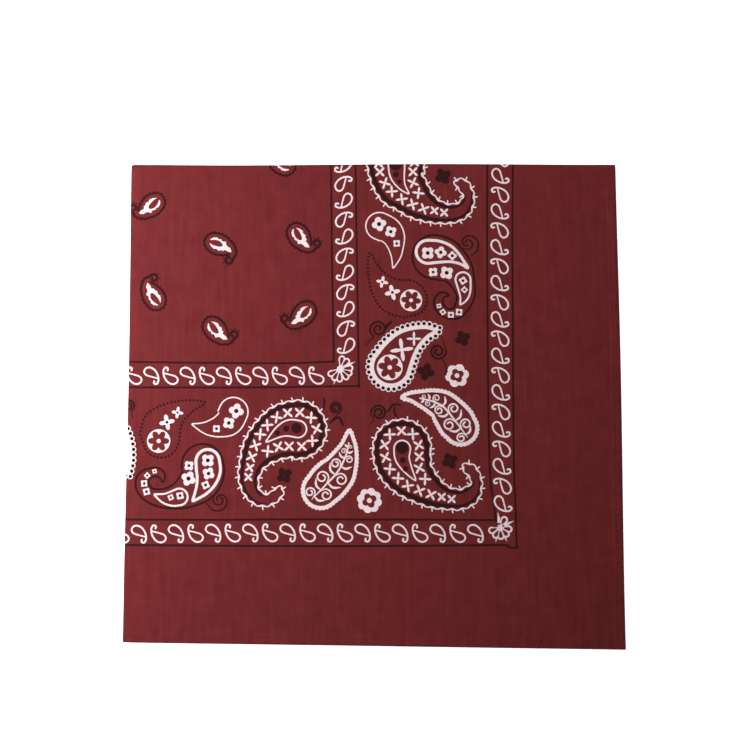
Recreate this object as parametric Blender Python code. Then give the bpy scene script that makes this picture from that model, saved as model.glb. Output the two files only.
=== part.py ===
"""A hemmed cotton bandana, folded in quarters and lying flat.

One square of cloth is folded left half under right, then top half under
bottom. Four layers lie on each other: the front quarter, two hidden ones
and the back quarter, which rests on the surface. Metres, +Z up, the origin
under the middle of the folded square.

A point of the cloth is named by three numbers. `along` runs from the left
fold towards the free right edge and `down` from the top fold towards the
free bottom edge; both turn negative where the cloth goes round its fold and
on under itself. `depth` runs through the wall, 0 on its inner face.
"""

import math

import bmesh
import bpy

# Driving dimensions of the folded square
WIDTH = 0.272            # left fold to right hem
HEIGHT = 0.266           # top fold to bottom hem
WALL = 0.0010            # one layer of cloth
PARTING = 0.0003         # air between two layers, and at each seam
HEM_WIDTH = 0.0050       # the edge turned twice and sewn down
HEM_SWELL = 0.0002       # how far a hem stands above the cloth beside it
FOLD_RETURN = 0.0030     # how far a fold's own piece runs back under itself
HIDDEN_INSET = 0.0009    # free edges of the hidden layers lie back by this
BACK_INSET = 0.0004      # and those of the back quarter by this
EDGE_SLOT = 0.0060       # depth of the slit between the hidden layers' edges

# How the fold lies out of true, and the swell of the front
SKEW = -0.0105           # sideways drift for each metre up: folded off square
EDGE_WANDER = 0.00030    # slow waviness of the outline
EVEN_OUT = (0.00025, -0.00015)   # x, y that bring the outline's box over the origin
LIFT = 0.00022           # mean height of the front's waves above the wall

FLAT_STEPS = 30          # wall faces along the flat part of a side
BEND_STEPS = 8           # wall faces round a fold
PLAIN_STEPS = 8          # wall faces along a side that lies flat on the floor

# Heights that follow from the wall and the parting
PAIR_MIDDLE = WALL + PARTING / 2              # between the layers of one pair
STACK_MIDDLE = 2 * WALL + 1.5 * PARTING       # between the two pairs
BEND_RADIUS = PARTING / 2 + WALL / 2          # middle of the wall, left fold
TOP_BEND_RADIUS = STACK_MIDDLE - WALL / 2     # middle of the outer wall, top fold
LEFT_BEND = math.pi * BEND_RADIUS             # cloth taken up by the left fold
TOP_BEND = math.pi * TOP_BEND_RADIUS          # cloth taken up by the top fold
LEFT_LINE = -WIDTH / 2 + PAIR_MIDDLE          # x where the left fold starts
TOP_LINE = HEIGHT / 2 - STACK_MIDDLE          # y where the top fold starts
ALONG_END = WIDTH / 2 - LEFT_LINE             # along at the front's right edge
DOWN_END = HEIGHT / 2 + TOP_LINE              # down at the front's bottom edge

# Long low waves of the front: crests across `turn` degrees, `span` apart
WAVES = [
    {"span": 0.145, "turn": 12, "start": 0.4, "height": 0.00010},
    {"span": 0.083, "turn": 74, "start": 1.9, "height": 0.00007},
    {"span": 0.057, "turn": -38, "start": 3.1, "height": 0.00005},
]

# Creases of the front, from (x, y) to (x, y): a ridge up or a trough down
CREASES = [
    {"from": (-0.129, -0.083), "to": (-0.120, -0.121), "half_width": 0.0050, "height": 0.00028},
    {"from": (-0.103, -0.122), "to": (-0.109, -0.131), "half_width": 0.0040, "height": 0.00030},
    {"from": (0.065, -0.044), "to": (0.079, -0.102), "half_width": 0.0055, "height": -0.00020},
    {"from": (0.072, -0.050), "to": (0.086, -0.104), "half_width": 0.0060, "height": 0.00020},
    {"from": (-0.040, -0.086), "to": (-0.036, -0.130), "half_width": 0.0070, "height": 0.00014},
    {"from": (0.104, 0.131), "to": (0.108, 0.020), "half_width": 0.0090, "height": 0.00012},
]


def smooth(low, high, value):
    """0 below low, 1 above high, with a soft step between."""
    t = min(max((value - low) / (high - low), 0.0), 1.0)
    return t * t * (3 - 2 * t)


def crease_lift(x, y):
    """Height that the creases add at (x, y)."""
    total = 0.0
    for crease in CREASES:
        (ax, ay), (bx, by) = crease["from"], crease["to"]
        dx, dy = bx - ax, by - ay
        length = math.hypot(dx, dy)
        reach = ((x - ax) * dx + (y - ay) * dy) / length
        side = ((x - ax) * dy - (y - ay) * dx) / length
        ends = smooth(-0.010, 0.004, reach) * smooth(-0.010, 0.004, length - reach)
        total += crease["height"] * ends * math.exp(-(side / crease["half_width"]) ** 2)
    return total


def front_lift(along, down):
    """Swell of the front's outer face; it dies away round the top fold."""
    x, y = LEFT_LINE + along, TOP_LINE - down
    waves = LIFT
    for wave in WAVES:
        turn = math.radians(wave["turn"])
        run = x * math.cos(turn) + y * math.sin(turn)
        waves += wave["height"] * math.sin(math.tau * run / wave["span"] + wave["start"])
    left = smooth(-LEFT_BEND / 2, 0.004, along)
    top = smooth(-TOP_BEND / 2, 0.004, down)
    return max(waves + crease_lift(x, y), 0.0) * left * top


def lie(x, y, z):
    """Set a point of the squared-up stack into its slightly skewed outline."""
    bow = math.sin(math.tau * x / 0.21 + 0.6) * smooth(-HEIGHT / 2, HEIGHT / 2, y)
    sway = math.sin(math.tau * y / 0.25 + 1.1) * abs(2 * x / WIDTH)
    return (x + SKEW * y + EDGE_WANDER * sway + EVEN_OUT[0],
            y + EDGE_WANDER * bow + EVEN_OUT[1], z)


def folded(along, down, depth):
    """Where a point of the cloth lies after both folds."""
    radius = PARTING / 2 + depth
    if along >= 0:
        x, height = LEFT_LINE + along, PAIR_MIDDLE + radius
    elif along >= -LEFT_BEND:
        angle = -along / BEND_RADIUS
        x = LEFT_LINE - radius * math.sin(angle)
        height = PAIR_MIDDLE + radius * math.cos(angle)
    else:
        x, height = LEFT_LINE - along - LEFT_BEND, PAIR_MIDDLE - radius
    reach = PARTING / 2 + height
    if down >= 0:
        y, z = TOP_LINE - down, STACK_MIDDLE + reach
    elif down >= -TOP_BEND:
        angle = -down / TOP_BEND_RADIUS
        y = TOP_LINE + reach * math.sin(angle)
        z = STACK_MIDDLE + reach * math.cos(angle)
    else:
        y, z = TOP_LINE + down + TOP_BEND, STACK_MIDDLE - reach
    return lie(x, y, z)


def steps(start, end, count):
    """count + 1 even stations from start to end."""
    return [start + (end - start) * i / count for i in range(count + 1)]


def round_the_fold(bend, flat_end, flat_steps):
    """Stations from the end of a fold's return, round it and out to flat_end."""
    returned = [-bend - FOLD_RETURN]
    return returned + steps(-bend, 0.0, BEND_STEPS) + steps(0.0, flat_end, flat_steps)[1:]


def finish(name, mesh_data, material):
    """Turn a bmesh into a named object, faces out, shaded smooth."""
    bmesh.ops.recalc_face_normals(mesh_data, faces=mesh_data.faces)
    mesh = bpy.data.meshes.new(name)
    mesh_data.to_mesh(mesh)
    mesh_data.free()
    mesh.shade_smooth()
    mesh.set_sharp_from_angle(angle=math.radians(40))
    mesh.materials.append(material)
    body = bpy.data.objects.new(name, mesh)
    bpy.context.collection.objects.link(body)
    return body


def cloth_wall(name, alongs, downs, inner, outer, material):
    """A closed wall between two faces, each a function of (along, down)."""
    shape = bmesh.new()
    faces = []
    for depth in (inner, outer):
        faces.append([[shape.verts.new(folded(a, d, depth(a, d))) for d in downs]
                      for a in alongs])
    rows, columns = len(alongs) - 1, len(downs) - 1
    for face in faces:
        for i in range(rows):
            for j in range(columns):
                shape.faces.new((face[i][j], face[i + 1][j],
                                 face[i + 1][j + 1], face[i][j + 1]))
    rim = [(i, 0) for i in range(rows)] + [(rows, j) for j in range(columns)]
    rim += [(i, columns) for i in range(rows, 0, -1)] + [(0, j) for j in range(columns, 0, -1)]
    for here, there in zip(rim, rim[1:] + rim[:1]):
        corners = [faces[0][here[0]][here[1]], faces[0][there[0]][there[1]],
                   faces[1][there[0]][there[1]], faces[1][here[0]][here[1]]]
        shape.faces.new(corners)
    return finish(name, shape, material)


def block_lattice(name, places, filled, material):
    """A closed solid from a lattice of blocks, some of them left out.

    places[i][j][k] is a corner's position and filled(i, j, k) tells whether
    the block that starts at that corner is part of the solid.
    """
    counts = (len(places) - 1, len(places[0]) - 1, len(places[0][0]) - 1)
    shape = bmesh.new()
    made = {}

    def corner(index):
        if index not in made:
            i, j, k = index
            made[index] = shape.verts.new(places[i][j][k])
        return made[index]

    def solid(index):
        inside = all(0 <= index[axis] < counts[axis] for axis in range(3))
        return inside and filled(*index)

    for block in [(i, j, k) for i in range(counts[0])
                  for j in range(counts[1]) for k in range(counts[2])]:
        if not solid(block):
            continue
        for axis in range(3):
            for way in (0, 1):
                beside = list(block)
                beside[axis] += 2 * way - 1
                if solid(tuple(beside)):
                    continue
                first, second = [other for other in range(3) if other != axis]
                loop = []
                for a, b in ((0, 0), (1, 0), (1, 1), (0, 1)):
                    index = list(block)
                    index[axis] += way
                    index[first] += a
                    index[second] += b
                    loop.append(corner(tuple(index)))
                shape.faces.new(loop)
    return finish(name, shape, material)


def cotton(name, colour):
    """Matt printed cotton."""
    material = bpy.data.materials.new(name)
    material.use_nodes = True
    shader = material.node_tree.nodes["Principled BSDF"]
    shader.inputs["Base Color"].default_value = (*colour, 1.0)
    shader.inputs["Roughness"].default_value = 0.85
    shader.inputs["Metallic"].default_value = 0.0
    return material


def hem_rounding(across):
    """How far a hem's faces draw in at its two long edges, for across 0 to 1."""
    from_edge = max(min(across, 1 - across), 0.0) * HEM_WIDTH
    radius = 0.42 * WALL
    if from_edge >= radius:
        return 0.0
    return radius - math.sqrt(radius ** 2 - (radius - from_edge) ** 2) * 0.95


def hem_stations(edge):
    """Stations across a hem, close together where it is rounded."""
    shares = (0.0, 0.03, 0.085, 0.5, 0.915, 0.97, 1.0)
    return [edge - HEM_WIDTH + share * HEM_WIDTH for share in shares]


def hem(name, alongs, downs, share, swell, material):
    """A turned edge: share(along, down) is 0 at its sewn side, 1 at its fold."""
    def inner(along, down):
        return hem_rounding(share(along, down))

    def outer(along, down):
        lift = front_lift(along, down) + swell * smooth(-TOP_BEND / 2, 0.004, down) \
            * smooth(-LEFT_BEND / 2, 0.004, along)
        return WALL + lift - hem_rounding(share(along, down))

    return cloth_wall(name, alongs, downs, inner, outer, material)


def inner_face(along, down):
    return 0.0


def swollen_face(along, down):
    return WALL + front_lift(along, down)


def plain_face(along, down):
    return WALL


for old in list(bpy.data.objects):
    bpy.data.objects.remove(old, do_unlink=True)

# Front quarter: the layer that shows, with the left fold round to its return
# below, and the top fold round to its return on the floor
FRONT_RIGHT = ALONG_END - HEM_WIDTH - PARTING
FRONT_BOTTOM = DOWN_END - HEM_WIDTH - PARTING
cloth_wall("front_quarter",
           round_the_fold(LEFT_BEND, FRONT_RIGHT, FLAT_STEPS),
           round_the_fold(TOP_BEND, FRONT_BOTTOM, FLAT_STEPS),
           inner_face, swollen_face, cotton("front_cotton", (0.190, 0.026, 0.032)))

# Its two hems. The right one runs on round the top fold, the bottom one
# round the left fold, and the bottom one ends at the side of the right one.
hem("front_hem_right", hem_stations(ALONG_END),
    round_the_fold(TOP_BEND, DOWN_END, FLAT_STEPS),
    lambda along, down: (along - ALONG_END) / HEM_WIDTH + 1,
    HEM_SWELL, cotton("right_hem_cotton", (0.150, 0.020, 0.026)))
hem("front_hem_bottom", round_the_fold(LEFT_BEND, FRONT_RIGHT, FLAT_STEPS),
    hem_stations(DOWN_END),
    lambda along, down: (down - DOWN_END) / HEM_WIDTH + 1,
    HEM_SWELL, cotton("bottom_hem_cotton", (0.160, 0.022, 0.028)))

# Back quarter: the layer on the floor. Its left fold comes up to a return of
# its own, and its top edge meets the front's return.
BACK_TOP = -TOP_BEND - FOLD_RETURN - PARTING
BACK_EDGE = ALONG_END - BACK_INSET
BACK_DOWN = -TOP_BEND - DOWN_END + BACK_INSET
cloth_wall("back_quarter",
           round_the_fold(LEFT_BEND, BACK_EDGE - HEM_WIDTH - PARTING, PLAIN_STEPS),
           steps(BACK_DOWN + HEM_WIDTH + PARTING, BACK_TOP, PLAIN_STEPS),
           inner_face, plain_face, cotton("back_cotton", (0.150, 0.022, 0.028)))
hem("back_hem_right", hem_stations(BACK_EDGE),
    steps(BACK_DOWN, BACK_TOP, PLAIN_STEPS),
    lambda along, down: (along - BACK_EDGE) / HEM_WIDTH + 1,
    0.0, cotton("back_right_hem_cotton", (0.140, 0.020, 0.026)))
hem("back_hem_bottom",
    round_the_fold(LEFT_BEND, BACK_EDGE - HEM_WIDTH - PARTING, PLAIN_STEPS),
    hem_stations(BACK_DOWN + HEM_WIDTH),
    lambda along, down: (BACK_DOWN - down) / HEM_WIDTH + 1,
    0.0, cotton("back_bottom_hem_cotton", (0.140, 0.020, 0.026)))

# Hidden layers: one solid between the two quarters, rounded inside the top
# fold and slit along its right and bottom edges, where its two layers part
HIDDEN_LEFT = LEFT_LINE + FOLD_RETURN + PARTING
HIDDEN_RIGHT = WIDTH / 2 - HIDDEN_INSET
HIDDEN_BOTTOM = -HEIGHT / 2 + HIDDEN_INSET
EDGE_ROUND = 0.00035     # how far the layers' edges are rounded
COLUMNS = steps(HIDDEN_LEFT, HIDDEN_RIGHT - EDGE_SLOT, PLAIN_STEPS) \
    + [HIDDEN_RIGHT - EDGE_ROUND, HIDDEN_RIGHT]
FLAT_ROWS = [HIDDEN_BOTTOM, HIDDEN_BOTTOM + EDGE_ROUND] \
    + steps(HIDDEN_BOTTOM + EDGE_SLOT, TOP_LINE, PLAIN_STEPS)
ROUND_ROWS = [TOP_LINE + PAIR_MIDDLE * math.sin(math.radians(turn)) for turn in (25, 50, 75)]
ROWS = FLAT_ROWS + ROUND_ROWS
LEVELS = (-PAIR_MIDDLE, -PARTING / 2, PARTING / 2, PAIR_MIDDLE)


def hidden_corner(i, j, k):
    """A lattice corner of the hidden layers: flat, rounded at edges and fold."""
    x, y, level = COLUMNS[i], ROWS[j], LEVELS[k]
    over_fold = max(y - TOP_LINE, 0.0) / PAIR_MIDDLE
    level *= math.sqrt(1 - over_fold ** 2)
    if (i == len(COLUMNS) - 1 or j == 0) and k in (0, len(LEVELS) - 1):
        level -= math.copysign(EDGE_ROUND, level) * math.sqrt(1 - over_fold ** 2)
    return lie(x, y, STACK_MIDDLE + level)


def hidden_block(i, j, k):
    """Every block but those of the slit between the two free edges."""
    in_slit = i >= PLAIN_STEPS or j < 2
    return k != 1 or not in_slit or j >= len(FLAT_ROWS) - 1


block_lattice("hidden_layers",
              [[[hidden_corner(i, j, k) for k in range(len(LEVELS))]
                for j in range(len(ROWS))] for i in range(len(COLUMNS))],
              hidden_block, cotton("hidden_cotton", (0.120, 0.018, 0.024)))
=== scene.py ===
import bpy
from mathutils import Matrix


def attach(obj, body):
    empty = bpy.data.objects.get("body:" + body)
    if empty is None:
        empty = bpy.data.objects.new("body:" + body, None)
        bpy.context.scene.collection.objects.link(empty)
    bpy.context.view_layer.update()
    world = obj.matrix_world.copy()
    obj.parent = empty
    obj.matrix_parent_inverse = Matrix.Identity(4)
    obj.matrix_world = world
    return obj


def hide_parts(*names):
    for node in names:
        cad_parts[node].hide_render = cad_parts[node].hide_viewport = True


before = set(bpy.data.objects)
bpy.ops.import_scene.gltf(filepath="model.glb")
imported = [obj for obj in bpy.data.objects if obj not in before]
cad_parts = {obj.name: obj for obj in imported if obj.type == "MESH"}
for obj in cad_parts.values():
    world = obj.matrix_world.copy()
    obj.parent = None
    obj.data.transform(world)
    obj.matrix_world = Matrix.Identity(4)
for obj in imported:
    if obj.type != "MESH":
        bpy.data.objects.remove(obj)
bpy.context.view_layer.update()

import math

import bmesh
import bpy
from mathutils import Vector
from mathutils.geometry import delaunay_2d_cdt

# ---------------------------------------------------------------------------
# Front cloth, how it lies. The front quarter of the square is the layer on
# top, one thickness of cotton. It turns under at the left and the top fold,
# which were pressed by hand, and swells a little over the layers below.

# Metres; `along` runs from the left fold, `down` from the top fold, and
# `depth` through the layer's wall, as in the solids
WIDTH = 0.272
HEIGHT = 0.266
WALL = 0.0010
PARTING = 0.0003
HEM_WIDTH = 0.0050
HEM_SWELL = 0.0002
SKEW = -0.0105             # the square lies a little out of true
EDGE_WANDER = 0.00030
EVEN_OUT = (0.00025, -0.00015)
LIFT = 0.00022             # swell of the middle over the layers below
OFF_FOLD = 0.004           # the swell is whole this far from a fold
CREASE_ENDS = (-0.010, 0.004)   # a crease fades out past its ends

PAIR_MIDDLE = WALL + PARTING / 2
STACK_MIDDLE = 2 * WALL + 1.5 * PARTING
BEND_RADIUS = PARTING / 2 + WALL / 2
TOP_BEND_RADIUS = STACK_MIDDLE - WALL / 2
LEFT_BEND = math.pi * BEND_RADIUS
TOP_BEND = math.pi * TOP_BEND_RADIUS
LEFT_LINE = -WIDTH / 2 + PAIR_MIDDLE
TOP_LINE = HEIGHT / 2 - STACK_MIDDLE
ALONG_END = WIDTH / 2 - LEFT_LINE
DOWN_END = HEIGHT / 2 + TOP_LINE

# Long low waves: crests across `turn` degrees, `span` apart
WAVES = [
    {"span": 0.145, "turn": 12, "start": 0.4, "height": 0.00010},
    {"span": 0.083, "turn": 74, "start": 1.9, "height": 0.00007},
    {"span": 0.057, "turn": -38, "start": 3.1, "height": 0.00005},
]

# Creases from (x, y) to (x, y): a ridge up or a trough down
CREASES = [
    {"from": (-0.129, -0.083), "to": (-0.120, -0.121), "half_width": 0.0050, "height": 0.00028},
    {"from": (-0.103, -0.122), "to": (-0.109, -0.131), "half_width": 0.0040, "height": 0.00030},
    {"from": (0.065, -0.044), "to": (0.079, -0.102), "half_width": 0.0055, "height": -0.00020},
    {"from": (0.072, -0.050), "to": (0.086, -0.104), "half_width": 0.0060, "height": 0.00020},
    {"from": (-0.040, -0.086), "to": (-0.036, -0.130), "half_width": 0.0070, "height": 0.00014},
    {"from": (0.104, 0.131), "to": (0.108, 0.020), "half_width": 0.0090, "height": 0.00012},
]


def smooth(low, high, value):
    """0 below low, 1 above high, with a soft step between."""
    t = min(max((value - low) / (high - low), 0.0), 1.0)
    return t * t * (3 - 2 * t)


def crease_lift(x, y):
    """Height that the creases add at (x, y)."""
    total = 0.0
    for crease in CREASES:
        (ax, ay), (bx, by) = crease["from"], crease["to"]
        dx, dy = bx - ax, by - ay
        length = math.hypot(dx, dy)
        side = ((x - ax) * dy - (y - ay) * dx) / length
        if abs(side) > 3 * crease["half_width"]:
            continue
        reach = ((x - ax) * dx + (y - ay) * dy) / length
        ends = smooth(*CREASE_ENDS, reach) * smooth(*CREASE_ENDS, length - reach)
        total += crease["height"] * ends * math.exp(-(side / crease["half_width"]) ** 2)
    return total


def off_folds(along, down):
    """1 on the flat of the front, falling to 0 round its two folds."""
    return smooth(-LEFT_BEND / 2, OFF_FOLD, along) * smooth(-TOP_BEND / 2, OFF_FOLD, down)


def front_lift(along, down):
    """Swell of the front's outer face; it dies away round the folds."""
    x, y = LEFT_LINE + along, TOP_LINE - down
    waves = LIFT
    for wave in WAVES:
        turn = math.radians(wave["turn"])
        run = x * math.cos(turn) + y * math.sin(turn)
        waves += wave["height"] * math.sin(math.tau * run / wave["span"] + wave["start"])
    return max(waves + crease_lift(x, y), 0.0) * off_folds(along, down)


def lie(x, y, z):
    """Set a point of the squared-up stack into its slightly skewed outline."""
    bow = math.sin(math.tau * x / 0.21 + 0.6) * smooth(-HEIGHT / 2, HEIGHT / 2, y)
    sway = math.sin(math.tau * y / 0.25 + 1.1) * abs(2 * x / WIDTH)
    return Vector((x + SKEW * y + EDGE_WANDER * sway + EVEN_OUT[0],
                   y + EDGE_WANDER * bow + EVEN_OUT[1], z))


def folded(along, down, depth):
    """Where a point of the cloth lies after both folds."""
    radius = PARTING / 2 + depth
    if along >= 0:
        x, height = LEFT_LINE + along, PAIR_MIDDLE + radius
    elif along >= -LEFT_BEND:
        angle = -along / BEND_RADIUS
        x = LEFT_LINE - radius * math.sin(angle)
        height = PAIR_MIDDLE + radius * math.cos(angle)
    else:
        x, height = LEFT_LINE - along - LEFT_BEND, PAIR_MIDDLE - radius
    reach = PARTING / 2 + height
    if down >= 0:
        y, z = TOP_LINE - down, STACK_MIDDLE + reach
    elif down >= -TOP_BEND:
        angle = -down / TOP_BEND_RADIUS
        y = TOP_LINE + reach * math.sin(angle)
        z = STACK_MIDDLE + reach * math.cos(angle)
    else:
        y, z = TOP_LINE + down + TOP_BEND, STACK_MIDDLE - reach
    return lie(x, y, z)


STITCH_INSET = 0.0040      # stitch row in from the hem's edge
STITCH_PITCH = 0.0028
STITCH_SINK = 0.00012      # how far the thread pulls the cloth down
DENT_WIDTH = 0.0006        # of the groove that the row of stitches makes
EDGE_RADIUS = 0.00052      # roll of the cloth over the hem's edge
HEM_STEP = (HEM_WIDTH - 0.0006, HEM_WIDTH + 0.0010)   # where the hem's swell ends
HEM_REACH = 0.012          # nothing of a hem shows further in
PUCKER = 0.00005           # small gathers along the stitches
PUCKER_PITCH = 0.0071
PUCKER_ENDS = (0.011, 0.003)


def edge_roll(inset):
    """How far the cloth's face falls away where it turns over its edge."""
    if inset >= EDGE_RADIUS:
        return 0.0
    rest = EDGE_RADIUS - max(inset, 0.0)
    return EDGE_RADIUS - math.sqrt(max(EDGE_RADIUS ** 2 - rest ** 2, 0.0))


def hem_profile(inset, run):
    """Height over a hem's cross-section: roll at the edge, swell, stitch row."""
    height = HEM_SWELL * (1 - smooth(*HEM_STEP, inset))
    pull = 0.65 + 0.35 * math.cos(math.tau * run / STITCH_PITCH)
    height -= STITCH_SINK * pull * math.exp(-((inset - STITCH_INSET) / DENT_WIDTH) ** 2)
    pucker = math.sin(math.tau * run / PUCKER_PITCH + 1.7 * math.sin(run / 0.019))
    return height + PUCKER * pucker * smooth(*PUCKER_ENDS, inset) - edge_roll(inset)


def rumple(x, y):
    """The small unevenness of washed cotton, a few hundredths of a millimetre."""
    return (0.000030 * math.sin(210 * x + 3 * math.sin(95 * y)) * math.sin(170 * y + 2 * math.sin(120 * x))
            + 0.000018 * math.sin(520 * x + 260 * y + 2.2 * math.sin(230 * y - 90 * x)))


def front_face(along, down):
    """Depth of the front's printed face."""
    flat = off_folds(along, down)
    lift = front_lift(along, down) + flat * rumple(along, down)
    for inset, run in ((ALONG_END - along, down), (DOWN_END - down, along)):
        if flat == 0:
            lift -= edge_roll(inset)
        elif inset < HEM_REACH:
            lift += flat * hem_profile(inset, run)
    return WALL + lift


# ---------------------------------------------------------------------------
# Front cloth, its print. Two inks, white and black, are screened on dyed red
# cotton: two bands of small hooked drops between black rails, large paisleys
# and flowers between the bands, and small leaves in the middle field.

# Millimetres, across from the left fold's edge and down from the top fold's
CLOTH, WHITE, BLACK = 0.0, 1.0, 2.0
shapes = []


def ink(colour, outline):
    """Print one closed outline over what is printed already."""
    shapes.append((colour, outline))


def through(points, parts=10):
    """A smooth curve through points of any number of columns."""
    ends = [points[0]] + list(points) + [points[-1]]
    line = []
    for before, here, there, after in zip(ends, ends[1:], ends[2:], ends[3:]):
        for part in range(parts):
            t = part / parts
            line.append(tuple(
                0.5 * (2 * q + (r - p) * t + (2 * p - 5 * q + 4 * r - s) * t ** 2
                       + (3 * q - p - 3 * r + s) * t ** 3)
                for p, q, r, s in zip(before, here, there, after)))
    return line + [tuple(points[-1])]


def evenly(line, count=None, step=None, closed=False):
    """Points at even steps along a line."""
    line = list(line) + ([line[0]] if closed else [])
    runs = [0.0]
    for here, there in zip(line, line[1:]):
        runs.append(runs[-1] + math.hypot(there[0] - here[0], there[1] - here[1]))
    count = count or max(round(runs[-1] / step), 3)
    made, place = [], 0
    for i in range(count if closed else count + 1):
        run = runs[-1] * i / count
        while place < len(runs) - 2 and runs[place + 1] < run:
            place += 1
        share = (run - runs[place]) / max(runs[place + 1] - runs[place], 1e-9)
        made.append(tuple(a + (b - a) * share for a, b in zip(line[place], line[place + 1])))
    return made


def heading(line, i, closed=False):
    """Unit direction of a line at its point i."""
    last = len(line) - 1
    before = line[i - 1] if closed or i else line[0]
    after = line[(i + 1) % len(line)] if closed or i < last else line[last]
    dx, dy = after[0] - before[0], after[1] - before[1]
    length = math.hypot(dx, dy) or 1.0
    return dx / length, dy / length


def beside(line, i, reach, closed=False):
    """The point `reach` to the side of a line's point i; below 0 the other side."""
    dx, dy = heading(line, i, closed)
    return line[i][0] + dy * reach, line[i][1] - dx * reach


LEAF_STEP = 0.9
LEAST_HALF = 0.06          # a paisley narrows to this half width at its tip


def leaf(spine, grow=0.0):
    """Outline of a paisley from its spine: rows of across, down, half width."""
    line = evenly(through(spine), step=LEAF_STEP)
    line = [row for row in line if grow >= 0 or row[2] + grow > 0.15]
    halves = [max(half + grow, LEAST_HALF) for _, _, half in line]
    left = [beside(line, i, half) for i, half in enumerate(halves)]
    right = [beside(line, i, -half) for i, half in enumerate(halves)]
    x, y, half = line[0][0], line[0][1], halves[0]
    dx, dy = heading(line, 0)
    back = math.atan2(-dy, -dx)
    parts = max(int(math.pi * half / LEAF_STEP), 4)
    cap = [(x + half * math.cos(back + math.pi * (0.5 - k / parts)),
            y + half * math.sin(back + math.pi * (0.5 - k / parts))) for k in range(1, parts)]
    dx, dy = heading(line, len(line) - 1)
    tip = [(line[-1][0] + dx * halves[-1] * 0.9, line[-1][1] + dy * halves[-1] * 0.9)]
    if math.dist(cap[0], right[0]) > math.dist(cap[-1], right[0]):
        cap.reverse()
    return left + tip + right[::-1] + cap


def outward(outline):
    """1 or -1: which side of an outline's direction is outside."""
    area = sum(a[0] * b[1] - b[0] * a[1] for a, b in zip(outline, outline[1:] + outline[:1]))
    return 1 if area > 0 else -1


def beats(outline, pitch, parts):
    """An outline in even steps, `parts` to a beat of about `pitch`, and its outer side."""
    length = sum(math.dist(a, b) for a, b in zip(outline, outline[1:] + outline[:1]))
    return evenly(outline, count=round(length / pitch) * parts, closed=True), outward(outline)


def ribbon(colour, line, widths, closed=False):
    """A stroke of changing width, laid as short pieces side by side."""
    sides = [(beside(line, i, width / 2, closed), beside(line, i, -width / 2, closed))
             for i, width in enumerate(widths)]
    for (a, b), (c, d) in zip(sides, sides[1:] + sides[:1] * closed):
        ink(colour, [a, c, d, b])


def disc(colour, x, y, radius, sides=12):
    """A round dot."""
    ink(colour, [(x + radius * math.cos(math.tau * k / sides),
                  y + radius * math.sin(math.tau * k / sides)) for k in range(sides)])


def stroke(colour, points, width, start=1.0, end=1.0, step=0.7):
    """A stroke through a few points; start and end are its widths' shares there."""
    line = evenly(through(points), step=step)
    widths = []
    for i in range(len(line)):
        share = i / (len(line) - 1)
        swell = (start + (1 - start) * smooth(0, 0.35, share)) \
            * (end + (1 - end) * smooth(0, 0.35, 1 - share))
        widths.append(width * swell)
    ribbon(colour, line, widths)
    for place, half in ((line[0], widths[0] / 2), (line[-1], widths[-1] / 2)):
        if half > 0.2:
            disc(colour, place[0], place[1], half, 8)


def flower(colour, x, y, radius, petals, depth, turn, hole, parts=8, power=2):
    """Petals about a hole: power 1 nicks round petals apart, 2 waves softly."""
    outline = []
    for k in range(petals * parts):
        dip = 1 - abs(math.cos(math.pi * k / parts)) ** power
        reach, angle = radius * (1 - 2 * depth * dip), math.tau * k / (petals * parts) + turn
        outline.append((x + reach * math.cos(angle), y + reach * math.sin(angle)))
    ink(colour, outline)
    if hole:
        disc(BLACK if colour == WHITE else CLOTH, x, y, radius * hole, 10)


def cross(x, y, reach, turn, width=1.35):
    """Two short brush strokes across each other, fullest half way out."""
    outline = []
    root = min(0.34, 0.14 * reach / width)
    for arm in range(4):
        angle = turn + arm * math.pi / 2
        c, s = math.cos(angle), math.sin(angle)
        for out, side in ((0.15, -root), (0.55, -0.50), (0.86, -0.36), (1.0, -0.10), (1.0, 0.10),
                          (0.86, 0.36), (0.55, 0.50), (0.15, root)):
            px, py = reach * out, width * side
            outline.append((x + px * c - py * s, y + px * s + py * c))
    ink(WHITE, outline)


def curl(colour, x, y, radius, turns, start, hand, width, inner, tail=()):
    """A spiral wound in to `inner` of its radius, with an optional tail before it."""
    parts = int(turns * 9)
    points = list(tail)
    for k in range(parts + 1):
        share = k / parts
        r = radius * (1 - (1 - inner) * share)
        angle = start + hand * math.tau * turns * share
        points.append((x + r * math.cos(angle), y + r * math.sin(angle)))
    stroke(colour, points, width, start=0.45 if tail else 0.8, end=1.0)


def rosette(x, y, radius, turn):
    """A white disc with a six-petalled red flower and a white eye."""
    disc(WHITE, x, y, radius, 40)
    flower(CLOTH, x, y, radius * 0.91, 6, 0.21, turn, 0.0, 8, 1)
    disc(WHITE, x, y, radius * 0.18, 12)


THORN_PITCH = 5.6
THORN_LENGTH = 2.4
# A leaning thorn: its corners along the line and, as a share, outward
THORN = [(-0.5, 0), (0.5, 0), (-0.2, 1), (-0.8, 1)]


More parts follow.
